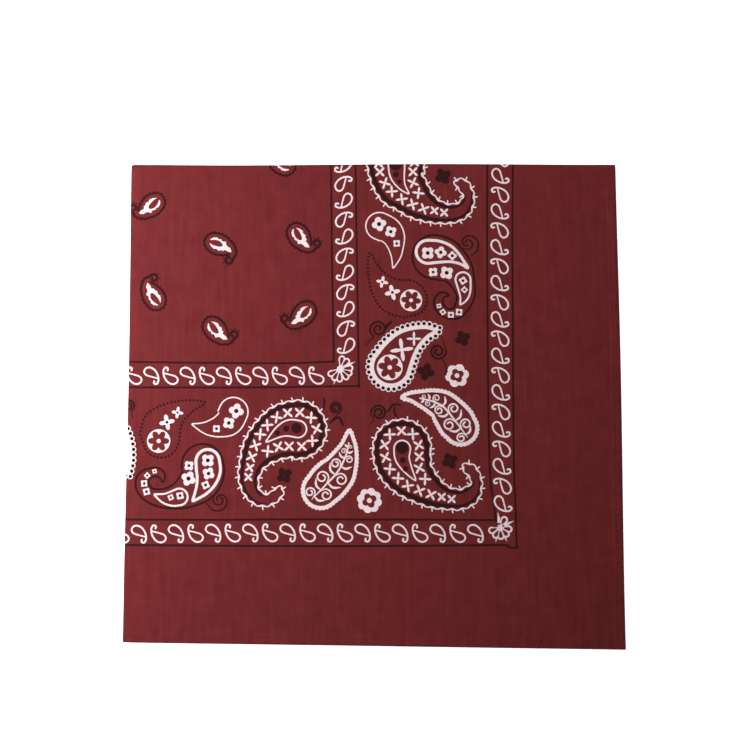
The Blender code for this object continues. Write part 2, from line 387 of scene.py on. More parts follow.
def thorned(spine):
    """A paisley in a wavy white line with thorns, a black band inside it."""
    band = [(x, y, half - 1.0) for x, y, half in spine[:-2]]
    core = [(x, y, half - min(2.6, 0.15 + half / 3)) for x, y, half in band]
    ink(BLACK, leaf(band))
    ink(CLOTH, leaf(core[:-1] + [core[-1][:2] + (core[-1][2] + 0.6,)]))
    line, side = beats(leaf(spine), THORN_PITCH, 8)
    beat = [math.cos(math.tau * i / 8) for i in range(len(line))]
    path = [beside(line, i, -0.4 * side * b, True) for i, b in enumerate(beat)]
    ribbon(WHITE, path, [0.82 + 0.15 * b for b in beat], closed=True)
    for i in range(0, len(line), 8):
        (x, y), (dx, dy) = path[i], heading(line, i, True)
        nx, ny = THORN_LENGTH * side * dy, -THORN_LENGTH * side * dx
        ink(WHITE, [(x + dx * run + nx * out, y + dy * run + ny * out) for run, out in THORN])


def drop(spine, width):
    """A plain white drop outline."""
    ink(WHITE, leaf(spine, width / 2))
    ink(CLOTH, leaf(spine, -width / 2))


def beaded(spine, wide):
    """A white band, `wide` across, edged with rings; the spine's width is that of the rings."""
    beads = evenly(leaf(spine), step=3.0, closed=True)
    for x, y in beads:
        disc(WHITE, x, y, 1.6, 12)
    ink(WHITE, leaf(spine))
    for x, y in beads:
        disc(BLACK, x, y, 1.02, 10)
    ink(CLOTH, leaf(spine, -wide))


def scalloped(spine):
    """A white band with a scalloped outer edge."""
    line, side = beats(leaf(spine, -0.3), 2.1, 6)
    ink(WHITE, [beside(line, i, side * 0.5 * abs(math.sin(math.pi * i / 6)), True)
                for i in range(len(line))])
    ink(CLOTH, leaf(spine, -2.2))


def dotted(ring):
    """A paisley in small black dots, along a closed ring of points."""
    for x, y in evenly(through(ring + ring[:1])[:-1], step=2.1, closed=True):
        disc(BLACK, x, y, 0.74, 8)


def outlined(spine):
    """A paisley in a soft black line."""
    ink(BLACK, leaf(spine, 0.60))
    ink(CLOTH, leaf(spine, -0.60))


def field_leaf(x, y, angle, hand):
    """A toothed white leaf round a bare oval, in a scalloped black line.

    The leaf points to `angle` degrees; the curl at its stalk is on its left
    side where hand is 1.
    """
    c, s = math.cos(math.radians(angle)), math.sin(math.radians(angle))

    def at(u, v):
        return x + u * c + hand * v * s, y + u * s - hand * v * c

    shell = [(-9.9, 0.0), (-9.0, -1.9), (-7.4, -3.4), (-5.6, -4.8), (-3.3, -5.5), (-0.7, -6.3),
             (2.0, -6.5), (4.5, -5.9), (6.5, -5.3), (8.6, -3.6), (9.7, -0.8), (9.4, 2.2), (7.7, 4.1),
             (5.7, 5.2), (3.5, 5.7), (0.4, 5.5), (-2.2, 4.5), (-3.6, 3.9), (-5.2, 2.8), (-6.8, 1.6)]
    line = evenly(through([at(u, v) for u, v in shell], 4), step=0.42)
    beat = [abs(math.sin(math.pi * i / 5)) for i in range(len(line))]
    ribbon(BLACK, [beside(line, i, 0.5 * hand * (b - 0.5)) for i, b in enumerate(beat)],
           [1.6 - 0.5 * b for b in beat])
    stalk = [(-9.9, 0.2), (-9.6, 2.2), (-9.8, 4.8), (-8.6, 6.4), (-6.7, 6.2), (-6.0, 4.6), (-7.0, 3.2),
             (-8.3, 3.6)]
    stroke(BLACK, [at(u, v) for u, v in stalk], 1.6, 1.0, 0.8, 0.6)
    for u, v in ((-4.6, 5.4), (-5.9, 7.4), (-8.6, 8.0)):
        disc(BLACK, *at(u, v), 0.5, 7)
    edge = [(7.0, -0.9), (5.8, -2.6), (4.0, -3.4), (2.8, -3.0), (1.7, -3.6), (0.3, -2.9), (-1.4, -3.7),
            (-2.1, -2.4), (-3.6, -1.7), (-5.1, -1.7), (-6.4, -0.6), (-6.9, 0.2), (-5.0, 0.7),
            (-2.9, 0.6), (-2.4, 1.8), (-1.2, 1.7), (-0.4, 2.7), (1.7, 2.4), (2.7, 3.1), (4.6, 2.6),
            (6.5, 1.4)]
    ink(WHITE, [at(u, v) for u, v in edge])
    ink(CLOTH, [at(u, v) for u, v in [
        (7.6, 1.7), (6.6, 1.35), (4.6, 1.55), (2.4, 1.2), (0.2, 0.5), (-0.9, -0.5), (-0.5, -1.5),
        (1.1, -2.2), (2.6, -2.35), (4.4, -1.8), (6.0, -0.9), (6.9, -0.2), (8.2, 0.4)]])


# The small hooked drop of the bands, brush path for an upright band
HOOKED_DROP = [(1.4, -3.2), (0.5, 0.5), (-0.4, 3.2), (-2.1, 4.4), (-4.0, 3.5), (-4.6, 1.1),
               (-3.2, -1.5), (-0.4, -3.3), (2.7, -3.7), (4.6, -2.7), (4.1, -1.2), (3.0, -1.4)]

# Rows of drops: the line they stand on, how many steps it has, and how the
# path is turned: (x, y) -> (a x + b y, c x + d y)
DROP_ROWS = [
    {"line": [(120.2, 11.2), (121.7, 103.1)], "steps": 9, "turn": (1, 0, 0, 1)},
    {"line": [(13.5, 120.0), (104.9, 119.3)], "steps": 9, "turn": (0, -1, 1, 0)},
    {"line": [(208.0, 7.4), (206.9, 50.0), (206.5, 105.0), (206.6, 155.0), (207.2, 189.0)],
     "steps": 18, "turn": (1, 0, 0, -1)},
    {"line": [(8.5, 207.2), (60.0, 206.0), (100.0, 205.5), (150.0, 205.2), (192.4, 204.9)],
     "steps": 18, "turn": (0, -1, 1, 0)},
]
DROP_WIDTH = 0.95
RAIL_WIDTH = 1.10
RAILS = [
    [(113.2, -9), (113.8, 50), (114.9, 111.9)], [(126.8, -9), (127.8, 60), (128.8, 125.6)],
    [(-5, 112.4), (50, 112.5), (90, 112.5), (103, 112.0), (115.2, 111.5)],
    [(-5, 126.6), (60, 126.1), (97, 125.6), (129.0, 125.1)],
    [(201.0, -9), (199.9, 60), (199.6, 122), (200.0, 165), (200.8, 179), (202.2, 188), (203.2, 198.0)],
    [(215.3, -9), (214.0, 50), (213.4, 110), (213.2, 165), (213.9, 190), (214.4, 212.6)],
    [(-5, 199.4), (50, 198.9), (100, 198.2), (180, 197.7), (203.6, 197.6)],
    [(-5, 213.2), (100, 212.7), (150, 212.0), (209.3, 210.9)],
    [(209.0, 211.0), (210.4, 212.2), (214.8, 212.3)],
]


def print_bands():
    """The rails, and between them drops that turn about by turns."""
    for rail in RAILS:
        stroke(BLACK, rail, RAIL_WIDTH, step=2.0)
    for row in DROP_ROWS:
        a, b, c, d = row["turn"]
        line = evenly(through(row["line"]), count=row["steps"])
        back_x, back_y = line[0][0] - line[1][0], line[0][1] - line[1][1]
        for k in range(-2, row["steps"] + 1):
            x, y = line[max(k, 0)]
            x, y = x - back_x * min(k, 0), y - back_y * min(k, 0)
            way = -1 if k % 2 else 1
            path = [(x + way * (a * px + b * py), y + way * (c * px + d * py))
                    for px, py in HOOKED_DROP]
            stroke(WHITE, path, DROP_WIDTH, start=0.8, end=1.1, step=0.6)


# Corner flowers: hub, a petal's reach and half width, and where the petals and
# the spurs between them point, in degrees
CORNER_FLOWERS = [
    ((118.2, 115.6), 7.6, 1.9, [-78, -48, -4, 24, 52, 91, 121, 151], [-25, 112]),
    ((205.5, 201.5), 6.8, 2.0, [-61, 10, 47, 86, 120, 160], [-98, -26, 64, 108]),
]


def corner_flower(hub, reach, half, petals, spurs):
    """Petals with a bare drop in each, spread from a hub where two bands meet."""
    def out(distance, angle):
        turn = math.radians(angle)
        return hub[0] + distance * math.cos(turn), hub[1] + distance * math.sin(turn)

    for angle in spurs:
        ink(WHITE, [out(0.4 * reach, angle - 25), out(1.25 * reach, angle), out(0.4 * reach, angle + 25)])
    for angle in petals:
        disc(WHITE, *out(reach - half, angle), half)
        ink(WHITE, [hub, out(reach - half, angle - 20), out(reach - half, angle + 20)])
    disc(WHITE, *hub, 0.22 * reach)
    bare = 0.5 * half
    for angle in petals:
        side = [(0.30 * reach, 0.3 * bare), (0.52 * reach, 0.85 * bare), (reach - half, 1.1 * bare),
                (reach - half + 0.7 * bare, 0.75 * bare)]
        around = side + [(reach - half + bare, 0.0)] + [(u, -v) for u, v in reversed(side)]
        ink(CLOTH, [out(math.hypot(u, v), angle + math.degrees(math.atan2(v, u))) for u, v in around])


# Paisleys between the bands: spines as rows of across, down, half width;
# crosses as across, down, turn in degrees; dots as across, down, radius
THORNED = [
    {"spine": [(149.0, -13.5, 16.0), (149.6, 1.5, 15.9), (152.4, 11.8, 14.6), (157.2, 17.4, 12.0),
               (162.1, 22.3, 10.0), (168.0, 26.0, 7.8), (174.5, 28.2, 6.1), (181.5, 28.5, 5.2),
               (187.0, 26.0, 4.6), (190.0, 20.6, 3.3), (189.4, 16.3, 3.1), (187.1, 12.6, 3.4),
               (184.0, 11.1, 2.3)],
     "crosses": [(162.2, 17.0, 8), (159.2, 11.1, 26), (159.2, 4.9, 43), (160.0, -0.6, 45),
                 (159.0, -6.4, 33), (155.5, -11.5, 86), (149.3, -13.2, 42), (143.2, -11.0, 87),
                 (140.0, -5.8, 55), (139.7, 0.0, 40), (140.6, 4.9, 45), (143.4, 11.3, 18),
                 (147.3, 16.1, -4), (152.9, 20.5, -8), (158.8, 23.5, -14), (165.0, 26.0, -20),
                 (171.0, 27.0, 52), (176.4, 28.1, 45)],
     "drop": [(149.5, -6.5, 4.8), (149.9, 0.0, 4.7), (150.4, 7.0, 4.0), (152.7, 12.8, 2.2),
              (156.6, 17.2, 0.4)],
     "dots": [(149.5, 0.6, 3.5), (149.6, 6.4, 1.7), (151.6, 10.5, 1.2)]},
    {"spine": [(94.8, 149.2, 16.1), (87.6, 150.5, 15.3), (80.6, 154.5, 13.0), (74.0, 160.8, 10.1),
               (69.9, 168.2, 7.0), (68.2, 175.5, 5.7), (69.4, 182.0, 4.6), (73.4, 186.9, 3.8),
               (78.5, 187.8, 3.3), (83.2, 185.4, 3.0), (85.3, 182.3, 2.6)],
     "crosses": [(78.5, 161.2, 6), (84.4, 158.7, 30), (90.3, 158.4, 45), (97.3, 158.4, 42),
                 (103.1, 155.3, -3), (105.5, 148.8, 30), (102.4, 142.6, 4), (96.1, 139.8, 43),
                 (89.4, 140.0, 40), (83.3, 142.5, 8), (78.2, 146.8, -5), (74.3, 151.9, 5),
                 (71.7, 158.0, -18), (69.7, 164.3, -28), (68.7, 170.2, -35), (68.0, 175.4, 45)],
     "drop": [(95.2, 148.9, 4.7), (90.2, 148.4, 4.5), (84.8, 150.5, 3.0), (77.8, 155.9, 0.4)],
     "dots": [(94.4, 148.4, 2.9), (88.6, 148.7, 1.7), (83.8, 151.1, 1.4)]},
    {"spine": [(152.4, 159.3, 15.9), (152.6, 164.0, 15.7), (155.0, 169.8, 14.9), (158.5, 174.9, 12.7),
               (163.8, 179.6, 10.2), (170.1, 183.7, 8.0), (176.8, 186.0, 6.1), (184.0, 186.6, 5.4),
               (189.9, 183.8, 4.9), (193.0, 178.2, 2.9), (192.2, 174.4, 2.9), (190.0, 171.0, 3.2),
               (187.0, 169.0, 2.4)],
     "crosses": [(164.9, 175.8, 3), (161.8, 169.9, 30), (161.8, 163.6, 40), (161.5, 157.4, 33),
                 (158.3, 151.4, -4), (152.1, 149.7, 42), (145.7, 151.7, -3), (142.9, 157.4, 55),
                 (143.3, 164.2, 30), (145.7, 170.5, 6), (150.2, 175.5, 4), (155.5, 179.6, -9),
                 (161.8, 182.1, -20), (168.1, 184.2, -30), (173.9, 185.4, 45), (179.3, 186.5, 45)],
     "drop": [(152.5, 159.4, 4.5), (152.5, 164.5, 3.9), (155.3, 170.3, 2.5), (159.6, 176.4, 0.4)],
     "dots": [(152.5, 158.9, 3.4), (152.8, 165.7, 1.7), (154.2, 170.4, 1.5)]},
]
BEADED = [
    [(146.4, 114.4, 12.5), (150.3, 107.2, 11.1), (154.9, 101.4, 9.4), (160.2, 97.6, 7.2),
     (165.8, 95.1, 4.9), (170.2, 94.4, 3.2), (172.9, 93.4, 1.4)],
    [(-20.0, 145.6, 12.5), (-12.8, 149.7, 11.3), (-6.7, 155.0, 9.5), (-2.8, 160.8, 7.2),
     (-0.4, 166.9, 4.9), (0.6, 171.8, 3.2), (1.9, 175.0, 1.5)],
]
DOTTED = [
    [(153.6, 87.1), (144.5, 84.3), (139.2, 79.3), (135.3, 70.6), (133.8, 59.3), (135.0, 50.9),
     (138.9, 57.1), (144.4, 63.2), (150.8, 66.0), (157.8, 66.4), (163.6, 69.8), (166.5, 76.6),
     (163.6, 84.0)],
    [(7.5, 152.9), (9.7, 143.4), (14.8, 138.6), (23.7, 134.9), (35.2, 133.4), (43.6, 134.7),
     (37.8, 138.6), (31.7, 144.8), (30.0, 149.9), (29.1, 157.1), (25.6, 163.1), (19.1, 165.3),
     (12.1, 162.3)],
]
OUTLINED = [
    [(171.0, 53.2, 12.4), (176.3, 55.2, 12.1), (182.7, 60.3, 9.5), (186.2, 67.1, 6.8),
     (187.8, 74.2, 5.1), (186.2, 80.0, 4.0), (182.7, 84.4, 3.2), (177.4, 84.7, 2.6),
     (173.4, 81.3, 2.6), (173.0, 77.2, 2.3), (175.3, 74.4, 1.6), (178.6, 74.6, 0.4)],
    [(42.6, 169.0, 11.5), (42.6, 173.4, 11.9), (40.0, 179.2, 11.1), (33.0, 184.6, 8.3),
     (26.0, 187.0, 6.1), (18.8, 187.3, 4.7), (12.8, 185.2, 3.8), (9.5, 180.8, 3.7),
     (9.9, 176.3, 3.3), (13.6, 173.8, 2.6), (17.6, 173.2, 2.3), (20.4, 175.4, 1.8),
     (20.8, 178.6, 0.4)],
]
SCALLOPED = [
    [(107.8, 182.3, 10.8), (112.0, 177.9, 11.5), (116.9, 172.6, 10.8), (119.5, 168.1, 9.2),
     (121.5, 163.4, 7.5), (122.9, 158.6, 5.5), (123.3, 154.3, 3.7), (123.6, 149.9, 1.9)],
    [(184.4, 147.8, 10.2), (182.2, 144.9, 10.9), (178.6, 140.2, 10.2), (174.2, 135.6, 8.9),
     (168.5, 133.2, 7.2), (163.2, 131.9, 5.3), (157.7, 130.9, 3.4), (152.9, 131.3, 1.9)],
]
DROPS = [
    (0.75, [(140.4, 35.7, 7.7), (145.5, 38.4, 7.4), (148.3, 42.6, 6.2), (149.4, 48.0, 4.2),
            (149.4, 53.2, 2.6), (147.9, 59.3, 0.3)]),
    (0.75, [(59.3, 139.7, 8.1), (56.5, 145.1, 7.8), (51.2, 147.8, 5.9), (45.6, 148.6, 4.0),
            (41.0, 148.0, 2.1), (36.4, 146.6, 0.2)]),
    (1.6, [(167.2, 50.3, 6.5), (172.4, 50.2, 6.1), (178.0, 51.3, 4.9), (182.8, 53.7, 2.8),
           (186.2, 56.3, 1.2), (189.2, 59.2, 0.2)]),
    (1.05, [(186.5, 65.9, 4.2), (187.3, 72.0, 3.2), (186.8, 76.2, 2.0), (184.9, 79.6, 0.3)]),
    (1.6, [(45.4, 167.0, 6.5), (45.9, 172.4, 6.6), (44.9, 177.6, 5.4), (42.3, 182.8, 3.4),
           (37.6, 188.8, 0.2)]),
    (1.05, [(30.1, 186.7, 4.6), (26.2, 187.6, 4.0), (21.8, 187.5, 2.6), (16.4, 185.6, 0.3)]),
]
# Small white flowers: across, down, reach, turn in degrees
WHITE_FLOWERS = [
    (140.1, 34.6, 4.1, -13), (146.6, 38.9, 3.4, 60), (167.1, 51.0, 3.8, 45), (174.3, 50.6, 3.4, 12),
    (170.0, 61.7, 2.8, 40), (177.5, 62.1, 3.9, 55), (60.9, 139.1, 4.2, 12), (56.8, 145.8, 3.5, 53),
    (45.5, 166.5, 3.8, 45), (46.0, 173.7, 3.5, 30), (35.1, 169.5, 2.9, 50), (35.0, 176.6, 4.1, 25),
]
# Square, star and black flowers: across, down, reach, turn in degrees
SQUARES = [
    (149.9, 45.6, 2.4, 42), (180.7, 52.5, 2.7, 0), (186.5, 66.4, 2.5, 12), (187.2, 71.5, 2.0, 0),
    (184.1, 84.0, 2.4, 50), (179.6, 85.5, 2.2, 45), (175.2, 84.0, 1.9, 10), (173.1, 80.6, 1.6, 35),
    (50.0, 149.0, 2.5, 45), (44.5, 180.0, 2.6, 20), (30.5, 186.0, 2.5, 35), (25.4, 187.0, 2.0, 20),
    (11.9, 184.0, 2.4, 30), (10.5, 179.5, 2.3, 40), (12.1, 175.2, 1.9, 0), (16.1, 172.8, 1.6, 30),
]
STAR_FLOWERS = [(141.8, 67.2, 3.4, 12), (147.4, 73.1, 4.4, -14), (22.4, 145.7, 4.4, -12),
                (28.2, 140.3, 3.3, 8)]
BLACK_FLOWERS = [(176.0, 7.4, 4.6, 61), (186.0, 98.5, 4.3, 65), (165.7, 117.1, 4.7, 15),
                 (87.9, 174.3, 4.4, 56), (178.5, 165.8, 4.4, 62)]
# Rosettes as across, down, radius, turn; large crosses as across, down,
# reach, turn, width; flowers in flowers as across, down, radius, lobes, turn
ROSETTES = [(157.7, 77.5, 6.1, 0.1), (145.8, 114.8, 7.1, 0.2), (18.0, 156.1, 6.5, 0.0)]
LARGE_CROSSES = [(152.5, 105.0, 6.4, -0.13, 2.2), (159.2, 98.9, 4.0, 0.0, 1.35)]
LOBED_FLOWERS = [(182.7, 119.1, 6.6, 6, -0.17), (134.5, 187.7, 6.9, 8, 0.2)]


def thorned_paisley(row):
    """A thorned paisley with a row of crosses and a drop in it."""
    thorned(row["spine"])
    for i, (x, y, turn) in enumerate(row["crosses"]):
        cross(x, y, 3.5 if i < len(row["crosses"]) - 2 else 3.0, math.radians(turn))
    drop(row["drop"], 0.85)
    for x, y, radius in row["dots"]:
        disc(BLACK, x, y, radius, 14)


def print_paisleys():
    """The large figures between the bands, with what is set in and round them."""
    beaded(BEADED[0], 3.2)
    beaded(BEADED[1], 4.7)
    for row in THORNED:
        thorned_paisley(row)
    for row in DOTTED:
        dotted(row)
    for row in OUTLINED:
        outlined(row)
    for row in SCALLOPED:
        scalloped(row)
    for width, row in DROPS:
        drop(row, width)
    for x, y, reach, turn in WHITE_FLOWERS:
        flower(WHITE, x, y, reach, 4, 0.17, math.radians(turn), 0.30, 8, 1)
    for x, y, reach, turn in SQUARES:
        flower(WHITE, x, y, reach, 4, 0.17, math.radians(turn), 0.34, 4)
    for x, y, reach, turn in STAR_FLOWERS:
        flower(WHITE, x, y, reach, 4, 0.32, math.radians(turn), 0.19)
    for x, y, reach, turn in BLACK_FLOWERS:
        flower(BLACK, x, y, 1.04 * reach, 4, 0.20, math.radians(turn), 0.08, 8, 1)
    for row in ROSETTES:
        rosette(*row)
    for row in LARGE_CROSSES:
        cross(*row)
    for x, y, radius, lobes, turn in LOBED_FLOWERS:
        flower(WHITE, x, y, radius, lobes, 0.6 / lobes, turn, 0.0, 8, 1)
        flower(CLOTH, x, y, radius * 0.60, 4, 0.17, 1.1, 0.0, 8, 1)
        disc(WHITE, x, y, radius * 0.20, 10)


SCROLL_WIDTH, DOUBLE_SCROLL_WIDTH = 1.25, 0.95
# Black scrolls: middle, reach outside and inside, turns, start in degrees,
# hand, tail points
SCROLLS = [
    (139.6, 93.5, 5.0, 1.2, 1.7, 120, 1, [(132.8, 102.6), (136.6, 98.2)]),
    (115.8, 137.3, 3.6, 1.0, 1.9, 60, -1, [(114.6, 143.0)]),
    (139.8, 139.8, 4.6, 1.2, 1.9, 130, 1, [(135.0, 146.3)]),
    (0.6, 136.8, 3.6, 1.0, 1.7, 60, -1, [(3.2, 144.0)]),
    (172.2, 105.8, 4.6, 1.2, 1.7, -5, 1, [(174.4, 97.7)]),
]
# Double scrolls: middle and quarter turns; their two curls as reach, inner
# share, turns, start in degrees
DOUBLE_SCROLLS = [(52.1, 188.1, 0), (189.3, 45.5, -1)]
TWO_CURLS = [(7.2, 0.12, 1.0, 165), (3.6, 0.40, 0.8, 215)]
# Short black strokes: width, ends and one bend
TWIGS = [
    (1.8, [(142.7, 94.9), (144.2, 91.9), (146.6, 89.5)]),
    (1.3, [(144.7, 139.3), (147.6, 135.4), (151.6, 135.5)]),
    (1.2, [(148.5, 136.6), (148.3, 139.3), (150.0, 143.0)]),
    (1.5, [(113.0, 145.3), (117.6, 142.4), (120.0, 146.8)]),
    (1.2, [(109.4, 131.8), (109.8, 134.5), (109.2, 137.6)]),
    (0.8, [(174.8, 110.1), (176.9, 114.5), (176.6, 119.0)]),
]


FILLING_ENDS = 5.4         # the filling stops where the paisley's half width is less
BAND_ROOM = 3.0            # kept clear for the scalloped band
CURL_TURNS = 1.3
CURL_SHARE = 0.44          # a curl's reach, of the room beside the stem
CURL_INNER = 0.35          # its inner end's, of its outer reach


def scroll_filling(spine):
    """A stem up a paisley, a curl on one side and a leaf on the other by turns."""
    x, y, half = spine[0]
    ahead_x, ahead_y = heading(spine, 0)
    behind = (x - 0.45 * half * ahead_x, y - 0.45 * half * ahead_y, 0.9 * half)
    line = evenly(through([behind] + spine), step=0.5)
    stem, place, side = [], 0, 1
    while place < len(line) - 1 and line[place][2] > FILLING_ENDS:
        x, y, half = line[place]
        dx, dy = heading(line, place)
        nx, ny = side * dy, -side * dx
        room = half - BAND_ROOM

        def beside_stem(out, on=0.0):
            return x + room * (out * nx + on * dx), y + room * (out * ny + on * dy)

        root = line[max(place - 5, 0)][:2] if place else beside_stem(0.0, -0.3)
        reach = CURL_SHARE * room
        curl(WHITE, *beside_stem(0.50), reach, CURL_TURNS, math.atan2(-ny, -nx), -side,
             min(0.9, 0.32 * reach), CURL_INNER, [root])
        stroke(WHITE, [(x, y), beside_stem(-0.45), beside_stem(-0.80, 0.35)], 1.2, 0.5, 0.4)
        stem.append((x, y))
        place += round(1.3 * room) + 1
        side = -side
    stem.append(line[min(place, len(line) - 8)][:2])
    stroke(WHITE, stem, 1.0, 0.6, 0.8)


def print_scrolls():
    """The black scrolls and twigs, and the white filling of two paisleys."""
    for x, y, reach, inner, turns, start, hand, tail in SCROLLS:
        curl(BLACK, x, y, reach, turns, math.radians(start), hand, SCROLL_WIDTH,
             inner / reach, tail)
    for x, y, quarter in DOUBLE_SCROLLS:
        for reach, inner, turns, start in TWO_CURLS:
            curl(BLACK, x, y, reach, turns, math.radians(start + 90 * quarter), -1,
                 DOUBLE_SCROLL_WIDTH, inner)
    for width, line in TWIGS:
        stroke(BLACK, line, width, 0.8, 0.8)
    for spine in SCALLOPED:
        scroll_filling(spine)


# Leaves of the middle field: middle, where it points, side of the curl. The
# last two cross the top fold.
FIELD_LEAVES = [
    (10.8, 24.4, -35.9, 1), (51.4, 46.8, -151.6, 1), (96.8, 42.2, -129.2, -1),
    (96.4, 85.9, -41.0, 1), (13.5, 74.0, 62.0, 1), (50.3, 94.7, -138.0, -1),
    (84.5, -1.8, 40.0, 1), (55.5, -9.2, -30.0, 1),
]

print_bands()
for place in CORNER_FLOWERS:
    corner_flower(*place)
print_paisleys()
print_scrolls()
for place in FIELD_LEAVES:
    field_leaf(*place)


# ---------------------------------------------------------------------------
# Front cloth, cut and printed. One thin sheet with its ink edges cut into
# the mesh, a plain under face below it and a narrow rim between them.
CLOTH_THICKNESS = 0.0004
FOLD_RETURN = 0.0030       # how far the cloth runs on behind a fold
PRINT_ORIGIN = (1000 * PAIR_MIDDLE, 1000 * STACK_MIDDLE - 0.25)   # print to cloth, mm
JOINED = 1e-4              # points of the net nearer than this are one, mm
# The baked picture: the printed face up to FACE_SPAN of it from MARGIN, the
# under face in a strip beside it, the rim just outside the printed face
MARGIN, FACE_SPAN, RIM_PUSH = 0.006, 0.945, 0.003
STRIP_START, STRIP_WIDTH, STRIP_HEIGHT = 0.962, 0.034, 0.95


def spread(start, end, step):
    """Even stations from start to end, about a step apart."""
    count = max(round(abs(end - start) / step), 1)
    return [start + (end - start) * k / count for k in range(count + 1)]


def cut_net(corner, far_corner, lines_u, lines_v, step, shown):
    """Triangles over a rectangle with the outlines in `shown` cut into them."""
    (u0, v0), (u1, v1) = corner, far_corner
    points, edges, faces = [], [], []

    def add_line(line):
        first = len(points)
        points.extend(Vector(p) for p in line)
        edges.extend((first + k, first + k + 1) for k in range(len(line) - 1))

    rim = [(u, v0) for u in spread(u0, u1, step)[:-1]] + [(u1, v) for v in spread(v0, v1, step)[:-1]]
    rim += [(u, v1) for u in spread(u1, u0, step)[:-1]] + [(u0, v) for v in spread(v1, v0, step)[:-1]]
    points.extend(Vector(p) for p in rim)
    faces.append(list(range(len(rim))))
    for u, apart in lines_u:
        add_line([(u, v) for v in spread(v0, v1, apart)])
    for v, apart in lines_v:
        add_line([(u, v) for u in spread(u0, u1, apart)])
    for i, u in enumerate(spread(u0, u1, step)[1:-1]):
        for v in spread(v0, v1, step)[1:-1]:
            points.append(Vector((u + 0.01 * (i % 2), v + (step / 2 if i % 2 else 0) * 0.9)))
    for _, outline in shown:
        faces.append(list(range(len(points), len(points) + len(outline))))
        points.extend(Vector(p) for p in outline[::outward(outline)])
    found, _, corners_of, _, _, owners_of = delaunay_2d_cdt(points, edges, faces, 0, JOINED, True)
    net, inks = [], []
    for corners, owners in zip(corners_of, owners_of):
        if 0 in owners:
            net.append(tuple(corners))
            top = max(owners)
            inks.append(shown[top - 1][0] if top else CLOTH)
    used = sorted({k for corners in net for k in corners})
    place = {k: i for i, k in enumerate(used)}
    return ([tuple(found[k]) for k in used],
            [tuple(place[k] for k in corners) for corners in net], inks)


def border_of(net):
    """Border edges, each in the direction its triangle has it."""
    seen = set()
    for a, b, c in net:
        seen.update(((a, b), (b, c), (c, a)))
    ahead = {here: there for here, there in seen if (there, here) not in seen}
    start = next(iter(ahead))
    ring = [start]
    while ahead[ring[-1]] != start:
        ring.append(ahead[ring[-1]])
    return ring


def under_net(rim, corner, far_corner, lines_u, lines_v, step):
    """A coarse net that shares the printed net's border points."""
    (u0, v0), (u1, v1) = corner, far_corner
    points = [Vector(p) for p in rim]
    for u, apart in lines_u:
        points.extend(Vector((u, v)) for v in spread(v0, v1, apart)[1:-1])
    for v, apart in lines_v:
        points.extend(Vector((u, v)) for u in spread(u0, u1, apart)[1:-1])
    for u in spread(u0, u1, step)[1:-1]:
        points.extend(Vector((u, v)) for v in spread(v0, v1, step)[1:-1])
    found, _, corners_of, _, _, owners_of = delaunay_2d_cdt(
        points, [], [list(range(len(rim)))], 0, JOINED, True)
    net = [tuple(corners) for corners, owners in zip(corners_of, owners_of) if 0 in owners]
    return [tuple(p) for p in found], net


def set_out(name, data):
    """An object of its own, set out in the scene."""
    piece = bpy.data.objects.new(name, data)
    bpy.context.collection.objects.link(piece)
    return piece


def make_sheet(name, corner, far_corner, lines_u, lines_v, step, shown, face, material):
    """A thin printed sheet; face(along, down) is the depth of its printed face."""
    def place(u, v, under):
        along, down = u / 1000, v / 1000
        return folded(along, down, face(along, down) - (CLOTH_THICKNESS if under else 0.0))

    def normal(u, v, under):
        """Unit normal, printed side."""
        h = 0.15
        across = place(u + h, v, under) - place(u - h, v, under)
        onward = place(u, v + h, under) - place(u, v - h, under)
        return onward.cross(across).normalized()

    flat, net, inks = cut_net(corner, far_corner, lines_u, lines_v, step, shown)
    ring = border_of(net)
    coarse_u, coarse_v = [(u, 12.0) for u, _ in lines_u], [(v, 12.0) for v, _ in lines_v]
    under_flat, lower = under_net([flat[k] for k in ring], corner, far_corner, coarse_u, coarse_v,
                                  step * 2.5)
    base = len(flat)
    both = [(u, v, False) for u, v in flat] + [(u, v, True) for u, v in under_flat]
    near = {(round(u, 3), round(v, 3)): base + k for k, (u, v) in enumerate(under_flat)}
    below = [near[round(flat[k][0], 3), round(flat[k][1], 3)] for k in ring]
    faces = [tri[::-1] for tri in net] + [tuple(base + k for k in tri) for tri in lower]
    faces += zip(ring[1:] + ring[:1], below[1:] + below[:1], below, ring)
    mesh = bpy.data.meshes.new(name)
    mesh.from_pydata([tuple(place(*point)) for point in both], [], faces)
    mesh.update()
    paint = mesh.attributes.new("ink", "FLOAT", "FACE")
    paint.data.foreach_set("value", inks + [CLOTH] * (len(faces) - len(net)))
    thread = mesh.uv_layers.new(name="Thread")
    bake = mesh.uv_layers.new(name="OFBake")
    (u0, v0), (u1, v1) = corner, far_corner
    span = max(u1 - u0, v1 - v0)
    thread_values, bake_values = [], []
    for polygon in mesh.polygons:
        on_strip = len(net) <= polygon.index < len(net) + len(lower)
        for k in polygon.vertices:
            u, v, under = both[k]
            thread_values += [u / 1000, -v / 1000]
            s, t = (u - u0) / span, 1 - (v - v0) / span
            if on_strip:
                bake_values += [STRIP_START + STRIP_WIDTH * s, MARGIN + STRIP_HEIGHT * t]
                continue
            push = RIM_PUSH if under else 0.0
            push_s = -push if u < u0 + 0.01 else push if u > u1 - 0.01 else 0.0
            push_t = push if v < v0 + 0.01 else -push if v > v1 - 0.01 else 0.0
            bake_values += [MARGIN + FACE_SPAN * s + push_s, MARGIN + FACE_SPAN * t + push_t]
    thread.data.foreach_set("uv", thread_values)
    bake.data.foreach_set("uv", bake_values)
    mesh.shade_smooth()
    mesh.normals_split_custom_set_from_vertices(
        [tuple(normal(*point) * (-1 if point[2] else 1)) for point in both])
    mesh.materials.append(material)
    return set_out(name, mesh)


